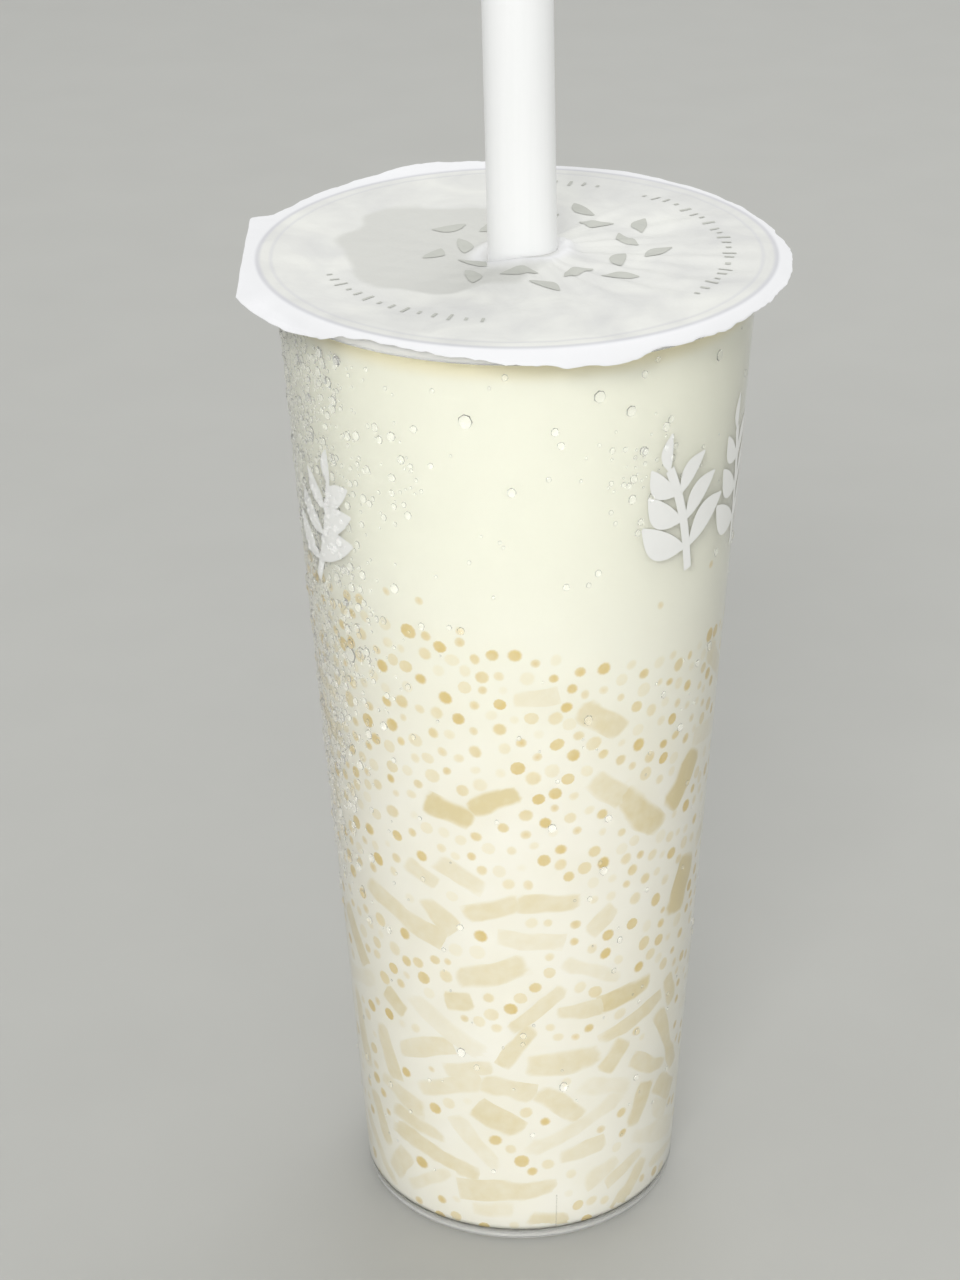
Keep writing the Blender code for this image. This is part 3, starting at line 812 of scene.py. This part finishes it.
# Jelly strips that show at the front: both ends and the breadth, given as pixels of the photo,
# then the tone. Two have a further change as well: longer in mm, further right in degrees, wider in mm.
# The picks lie inside the strips' soft edges, so all are made longer and wider. They are placed along the
# solid's inner profile, with its corner and floor, and lowered to the scene's own, whose corner is tighter.
frontStrips = {"longer": 0.8, "wider": 0.7, "lower": 0.5, "corner": 2.5, "floor": 2.2, "ends": (
    ((428, 800), (470, 822), 26, 1.0), ((470, 806), (520, 790), 18, 1.0), ((368, 876), (442, 938), 19, 0.5),
    ((427, 898), (452, 926), 20, 0.5), ((468, 914), (520, 901), 19, 0.55),
    ((520, 901), (577, 899), 18, 0.55), ((594, 777), (622, 795), 24, 0.5),
    ((618, 792), (655, 826), 27, 0.7), ((672, 905), (684, 858), 30, 1.1, 1.5, 0.0, 0.5),
    ((666, 800), (688, 754), 26, 1.1, 1.4, 1.8, 0.6), ((582, 708), (622, 728), 22, 0.6),
    ((514, 698), (556, 693), 14, 0.3), ((460, 976), (525, 964), 20, 0.5),
    ((390, 990), (405, 1008), 18, 0.6), ((448, 999), (472, 999), 18, 0.6),
    ((447, 1068), (492, 1066), 13, 0.4), ((420, 1085), (480, 1080), 16, 0.4),
    ((482, 1080), (532, 1092), 20, 0.45), ((480, 1107), (518, 1128), 24, 0.6),
    ((398, 1120), (486, 1174), 20, 0.55), ((556, 1012), (602, 1003), 14, 0.5),
    ((600, 1003), (648, 978), 18, 0.85), ((512, 1028), (562, 988), 11, 0.5),
    ((522, 1063), (597, 1052), 26, 0.5), ((603, 1068), (622, 1040), 20, 0.6),
    ((630, 1122), (644, 1080), 18, 0.6), ((540, 1090), (580, 1114), 19, 0.5),
    ((463, 1186), (556, 1184), 20, 0.5), ((383, 1020), (398, 1075), 14, 0.5),
    ((664, 975), (668, 997), 14, 0.6), ((655, 1010), (668, 1060), 12, 0.6),
    ((560, 960), (620, 975), 14, 0.25), ((352, 905), (368, 960), 18, 0.6),
    ((360, 985), (372, 1060), 16, 0.5), ((378, 1090), (392, 1140), 14, 0.5),
    ((590, 930), (612, 905), 14, 0.4), ((560, 940), (500, 936), 14, 0.3), ((410, 860), (436, 880), 16, 0.4),
    ((440, 860), (482, 886), 16, 0.4), ((560, 1155), (600, 1140), 14, 0.4))}


# Where the camera sees the inside of the wall at a pixel: degrees right of the front, length up the
# inner profile of the solid, radius there and depth of view, in millimetres
def seenOnWall(u, v):
    focal = viewPoint["focalPixels"]
    across, rise = (u - viewPoint["centre"][0]) / focal, (viewPoint["centre"][1] - v) / focal
    c, s = math.cos(viewPoint["roll"]), math.sin(viewPoint["roll"])
    x, y = c * across - s * rise, s * across + c * rise
    down = viewPoint["down"]
    ray = (x, math.sin(down) * y + math.cos(down), math.cos(down) * y - math.sin(down))
    eye = (viewPoint["right"] / mm, -viewPoint["back"] / mm, viewPoint["height"] / mm)
    radius = frontStrips["corner"]
    centreR, centreZ = cornerCentre(radius, frontStrips["floor"], cup["wallThick"])
    startR, startZ = centreR + radius * math.cos(wallTilt), centreZ - radius * math.sin(wallTilt)
    slope = cup["wallSlope"]
    base = startR + slope * (eye[2] - startZ)
    a = ray[0] ** 2 + ray[1] ** 2 - (slope * ray[2]) ** 2
    b = eye[0] * ray[0] + eye[1] * ray[1] - base * slope * ray[2]
    depth = (-b - math.sqrt(b * b - a * (eye[0] ** 2 + eye[1] ** 2 - base ** 2))) / a
    x, y, z = (e + depth * r for e, r in zip(eye, ray))
    up = radius * (math.pi / 2 - wallTilt) + (z - startZ) / math.cos(wallTilt)
    return math.degrees(math.atan2(x, -y)), up, math.hypot(x, y), depth


# Bearing, place up the profile, length, width and tilt of a strip between two pixels, to a tenth
def stripSeen(first, last, breadth, longer=0.0, turned=0.0, wider=0.0):
    (bearing1, up1, radius1, depth1), (bearing2, up2, radius2, depth2) = seenOnWall(*first), seenOnWall(*last)
    across, rise = math.radians(bearing2 - bearing1) * (radius1 + radius2) / 2, up2 - up1
    tilt = (math.degrees(math.atan2(rise, across)) + 90) % 180 - 90
    length = math.hypot(across, rise) + frontStrips["longer"] + longer
    width = breadth * (depth1 + depth2) / 2 / viewPoint["focalPixels"] + frontStrips["wider"] + wider
    return [round(n, 1) for n in ((bearing1 + bearing2) / 2 + turned, (up1 + up2) / 2 - frontStrips["lower"],
                                  length, width, tilt)]


# Radius of the liquid's side at a length up its profile
def profileRadius(up):
    x, y, z = onWall(0.0, up, 0.0, 0.0, liquidCorner)
    return x, z


# Where the toppings end, up the profile, at a bearing
def heapUp(bearing):
    return toppings["heapTop"] - toppings["heapTilt"] * 38.0 * math.cos(bearing) - 1.1


# True where a spot (bearing, up, radius) stays clear of all that are taken
def apart(spot, taken, keep):
    for bearing, up, radius in taken:
        if abs(up - spot[1]) < keep + radius + spot[2]:
            turn = (bearing - spot[0] + math.pi) % (2 * math.pi) - math.pi
            if math.hypot(turn * profileRadius(up)[0], up - spot[1]) < keep + radius + spot[2]:
                return False
    return True


# Spots for the jelly: the front's own strips, then others by chance where there is room
def layStrips(dice):
    spots, taken = [], []

    def take(bearing, up, length, width, tilt, tone, sink):
        r = profileRadius(up)[0]
        c, s = math.cos(tilt), math.sin(tilt)
        count = max(int(length / width * 1.6), 2)
        for i in range(count):
            along = (i / (count - 1) - 0.5) * (length - width)
            taken.append((bearing + along * c / r, up + along * s, width / 2))
        pitch = math.radians(sink * dice.uniform(-10, 10)) * min(1.0, 8.0 / length)
        roll = math.radians(sink * dice.uniform(-14, 14))
        thick = toppings["stripThick"] * dice.uniform(0.85, 1.15)
        deep = thick / 2 - dice.uniform(1.4 - 0.6 * sink, 1.6 - 0.3 * sink)
        spots.append({"bearing": bearing, "up": up, "out": -deep, "tone": tone,
                      "turn": (roll, pitch, tilt), "size": (length, width, thick)})

    for first, last, breadth, tone, *hand in frontStrips["ends"]:
        degrees, up, length, width, tilt = stripSeen(first, last, breadth, *hand)
        take(math.radians(degrees - 90), up, length + 0.8, width + 0.6, math.radians(tilt), tone, 0.45)
    added = tries = 0
    while added < toppings["moreStrips"] and tries < 6000:
        tries += 1
        bearing = dice.uniform(-math.pi, math.pi)
        up = dice.uniform(3.0, 94.0) if dice.random() < 0.94 else dice.uniform(94.0, 114.0)
        length, width = dice.uniform(9.0, 22.0), dice.uniform(3.4, 5.4)
        tilt = dice.choice((-1, 1)) * math.radians(dice.uniform(0, 60))
        r = profileRadius(up)[0]
        ends = [(bearing + t * length * math.cos(tilt) / r, up + t * length * math.sin(tilt), width / 2)
                for t in (-0.4, -0.2, 0.0, 0.2, 0.4)]
        front = math.cos(bearing + math.pi / 2) > 0.25 and up > 50.0
        if not front and all(apart(e, taken, -1.0) for e in ends):
            take(bearing, up, length, width, tilt, dice.uniform(0.1, 0.6), 1.0)
            added += 1
    return spots, taken


# Spots for the sago: thickest in the upper third of the heap, and a few strays above it
def layPearls(dice, taken):
    spots = []
    tries = 0
    while len(spots) < toppings["pearls"] and tries < 40000:
        tries += 1
        bearing = dice.uniform(-math.pi, math.pi)
        top = heapUp(bearing)
        up = top - abs(dice.gauss(0.0, 21.0)) if dice.random() < 0.46 else dice.uniform(1.0, top)
        edge = (top - up) / 12.0
        clump = noise.noise(Vector((math.cos(bearing) * 2.6, math.sin(bearing) * 2.6, up * 0.09)))
        if up < 1.0 or dice.random() > min(1.0, 0.25 + edge) * (0.75 + 0.9 * clump):
            continue
        radius = dice.uniform(*toppings["pearlRadius"])
        if not apart((bearing, up, radius), taken, -0.15):
            continue
        taken.append((bearing, up, radius))
        show = dice.uniform(0.45, 1.2)
        spots.append({"bearing": bearing, "up": up, "out": show - radius, "tone": dice.uniform(0.0, 1.0),
                      "turn": (0.0, 0.0, dice.uniform(0, 6.3)),
                      "size": (radius * dice.uniform(0.9, 1.08), radius * dice.uniform(0.92, 1.12), radius)})
    places = [toppings["stray"]]
    for _ in range(toppings["loosePearls"]):
        places.append((dice.uniform(-180, 180), dice.uniform(133, 140)))
    for degrees, up in places:
        spots.append({"bearing": math.radians(degrees - 90), "up": up, "out": -1.0, "tone": 0.8,
                      "turn": (0.0, 0.0, 0.4), "size": (1.4, 1.5, 1.45)})
    return spots


def pearlPart(tree):
    return addNode(tree, "GeometryNodeMeshUVSphere", {"Segments": 10, "Rings": 6, "Radius": mm})


def stripPart(tree):
    # A bar of jelly, its long side along x, crowned so that its edges sink into the milk
    bar = addNode(tree, "GeometryNodeMeshCube", {
        "Size": (1.0, 1.0, 1.0), "Vertices X": 9, "Vertices Y": 5, "Vertices Z": 2})
    place = addNode(tree, "GeometryNodeInputPosition")
    parts = addNode(tree, "ShaderNodeSeparateXYZ", {"Vector": place})
    # Thinner towards the sides and ends: one minus a high power of how far out a point lies
    falls = []
    for axis, power, drop in (("Y", 2.4, -0.75), ("X", 6.0, -0.8)):
        out = maths(tree, "MULTIPLY", maths(tree, "ABSOLUTE", parts.outputs[axis]), 2.0)
        steep = maths(tree, "POWER", out, power)
        falls.append(maths(tree, "MULTIPLY_ADD", steep, drop, 1.0))
    crown = maths(tree, "MULTIPLY", falls[0], falls[1])
    deep = maths(tree, "MULTIPLY", parts.outputs["Z"], crown)
    shaped = addNode(tree, "ShaderNodeCombineXYZ", {
        "X": parts.outputs["X"], "Y": parts.outputs["Y"], "Z": deep})
    crowned = addNode(tree, "GeometryNodeSetPosition", {"Geometry": bar, "Position": shaped})
    return addNode(tree, "GeometryNodeTransform", {"Geometry": crowned, "Scale": (mm, mm, mm)})


def dropPart(tree):
    return addNode(tree, "GeometryNodeMeshUVSphere", {"Segments": 7, "Rings": 5, "Radius": mm})


# Condensation outside the wall, bearings right of the front: thick on the left, thin or lone elsewhere
sweat = {"drops": 3300, "seed": 5, "radius": (0.24, 0.9), "lone": (
    (-12.8, 176.2, 1.3), (18.2, 180.0, 1.1), (26.3, 176.4, 1.0), (37.9, 172.9, 0.7), (54.2, 181.0, 1.0),
    (-52.0, 125.0, 1.6), (-47.0, 126.5, 1.2), (17.0, 145.0, 0.5), (-30.0, 96.0, 0.5), (30.0, 62.0, 0.6))}


# How likely a drop is to sit at a bearing and height
def sweatChance(degrees, up):
    high = min(max((up - 62.0) / 50.0, 0.0), 1.0) * min(max((187.0 - up) / 4.0, 0.0), 1.0)
    left = math.exp(-((degrees + 76 - 8.0 * high) / (12.0 + 7.0 * high)) ** 2) * high
    patch = 0.45 * math.exp(-((degrees + 32) / 6.0) ** 2 - ((up - 163.5) / 7.0) ** 2)
    haze = 0.3 * math.exp(-((degrees - 29) / 10.0) ** 2 - ((up - 166.5) / 7.0) ** 2)
    back = 0.3 * math.exp(-((degrees - 150) / 26.0) ** 2) * min(max((up - 55.0) / 60.0, 0.0), 1.0)
    return max(left, patch, haze, back, 0.006)


def laySweat(dice):
    spots, taken = [], []
    tries = 0
    while len(spots) < sweat["drops"] and tries < 60000:
        tries += 1
        degrees, up = dice.uniform(-180, 180), dice.uniform(12.0, 185.0)
        if dice.random() > sweatChance(degrees, up):
            continue
        low, high = sweat["radius"]
        radius = low + (high - low) * dice.random() ** 2.6
        spot = (math.radians(degrees - 90), up, radius)
        if not apart(spot, taken[-400:], 0.02):
            continue
        taken.append(spot)
        spots.append({"bearing": spot[0], "up": up, "out": 0.02, "tone": 0.0, "turn": (0.0, 0.0, 0.0),
                      "size": (radius, radius * dice.uniform(1.0, 1.3), radius * dice.uniform(0.45, 0.62))})
    for degrees, up, radius in sweat["lone"]:
        spots.append({"bearing": math.radians(degrees - 90), "up": up, "out": 0.0, "tone": 0.0,
                      "turn": (0.0, 0.0, 0.0), "size": (radius, radius * 1.12, radius * 0.16)})
    return spots


# Camera as the photograph was taken: metres, radians, and the long side's field from a 36 mm sensor
viewPoint = {"right": -0.00699, "back": 0.478395, "height": 0.363416, "down": 0.47942, "roll": -0.00998,
             "focalPixels": 2931.26, "centre": (480, 640), "longSide": 1280, "sensor": 36.0}


def makeCamera():
    data = bpy.data.cameras.new("photoCamera")
    data.sensor_width = viewPoint["sensor"]
    data.lens = viewPoint["focalPixels"] * viewPoint["sensor"] / viewPoint["longSide"]
    data.clip_start, data.clip_end = 0.01, 20.0
    camera = bpy.data.objects.new("photoCamera", data)
    bpy.context.scene.collection.objects.link(camera)
    aim = Matrix.Rotation(math.pi / 2 - viewPoint["down"], 4, "X")
    aim = aim @ Matrix.Rotation(viewPoint["roll"], 4, "Z")
    place = Matrix.Translation((viewPoint["right"], -viewPoint["back"], viewPoint["height"]))
    camera.matrix_world = place @ aim
    bpy.context.scene.camera = camera


# Plain soft studio light: position and size in metres, power in watts
lights = {
    "frontSoftbox": {"at": (-0.45, -1.7, 1.3), "size": 0.6, "power": 12.0, "mirrored": True},
    "lowFill": {"at": (0.25, -1.9, 0.3), "size": 1.3, "power": 10.0, "mirrored": False},
    "topBack": {"at": (0.2, 0.7, 1.3), "size": 0.8, "power": 6.0, "mirrored": False},
}


def makeStage():
    size = 3.0
    points = [(-size / mm, -size / mm, 0.0), (size / mm, -size / mm, 0.0), (size / mm, size / mm, 0.0),
              (-size / mm, size / mm, 0.0)]
    floor = newPiece("tabletop", points, [(0, 1, 2, 3)], makeFloorPaint(), smooth=False)
    for name, facts in lights.items():
        data = bpy.data.lights.new(name, "AREA")
        data.size, data.energy = facts["size"], facts["power"]
        lamp = bpy.data.objects.new(name, data)
        lamp.location = facts["at"]
        lamp.visible_glossy = facts["mirrored"]
        towards = Vector((0.0, 0.0, 0.1)) - Vector(facts["at"])
        lamp.rotation_euler = towards.to_track_quat("-Z", "Y").to_euler()
        bpy.context.scene.collection.objects.link(lamp)
    world = bpy.data.worlds.new("softRoom")
    world.use_nodes = True
    shade = world.node_tree.nodes["Background"]
    shade.inputs["Color"].default_value = linearColour("#E8E9E8")
    shade.inputs["Strength"].default_value = 0.75
    bpy.context.scene.world = world


bpy.context.scene.view_settings.view_transform = "Standard"
makeCamera()
makeStage()
print("camera and stage are set")

milkColour = makeMilkColour()
milk = makeMilk()
pieces = {}
pieces["cupWall"] = (makeCup(makeCupPlastic()), "clear_plastic", ("cup",))
pieces["milkTeaDrink"] = (makeMilkPiece(milk), "milk_tea", ("milk_tea", "sago_and_jelly"))
pieces["drinkingStraw"] = (makeStraw(makeStrawPlastic()), "straw_plastic", ("straw",))
pieces["sealingFilm"] = (makeFilm(makeFilmPlastic()), "film", ("seal_film",))
pieces["filmPrint"] = (makeFilmPrint(makeInk("greyFilmInk", "#BFC0B8", "#CDCEC7", 0.45)), "film", ())
pieces["wallPrint"] = (makeWallPrint(makeInk("whiteWallInk", "#F7F7F3", "#FDFDFA", 0.4)), "clear_plastic", ())
print("cup, drink, film and straw are made")

wrapRoundCup = makeWrapGroup()
dice = random.Random(toppings["seed"])
stripSpots, taken = layStrips(dice)
pearlSpots = layPearls(dice, taken)
jelly = makeSunken("coconutJelly", "#F4EFDD", "#E5D8AF", 0.75)
sago = makeSunken("cookedSago", "#F1E8C8", "#E2CC90", 0.65)
strips = scatter("jellyStrips", stripSpots, makeScatterTree("scatterJelly", stripPart, 160.0),
                 liquidCorner, press["flatness"], 1.9, jelly)
pieces["jellyStrips"] = (strips, "toppings", ("sago_and_jelly",))
pearls = scatter("sagoPearls", pearlSpots, makeScatterTree("scatterSago", pearlPart, 500.0),
                 liquidCorner, press["flatness"], 0.35, sago)
pieces["sagoPearls"] = (pearls, "toppings", ("sago_and_jelly",))
for piece in (strips, pearls):
    shadeAsWall(piece, liquidCorner)
print("toppings are in the cup")

water = makeWater()
dropSpots = laySweat(random.Random(sweat["seed"]))
drops = scatter("waterDrops", dropSpots, makeScatterTree("scatterWater", dropPart, 900.0),
                outerCorner, 1.0, 0.12, water)
pieces["waterDrops"] = (drops, "clear_plastic", ())
print("condensation is on the wall")

for piece, slotName, nodes in pieces.values():
    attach(piece, "root")
    if nodes:
        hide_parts(*nodes)
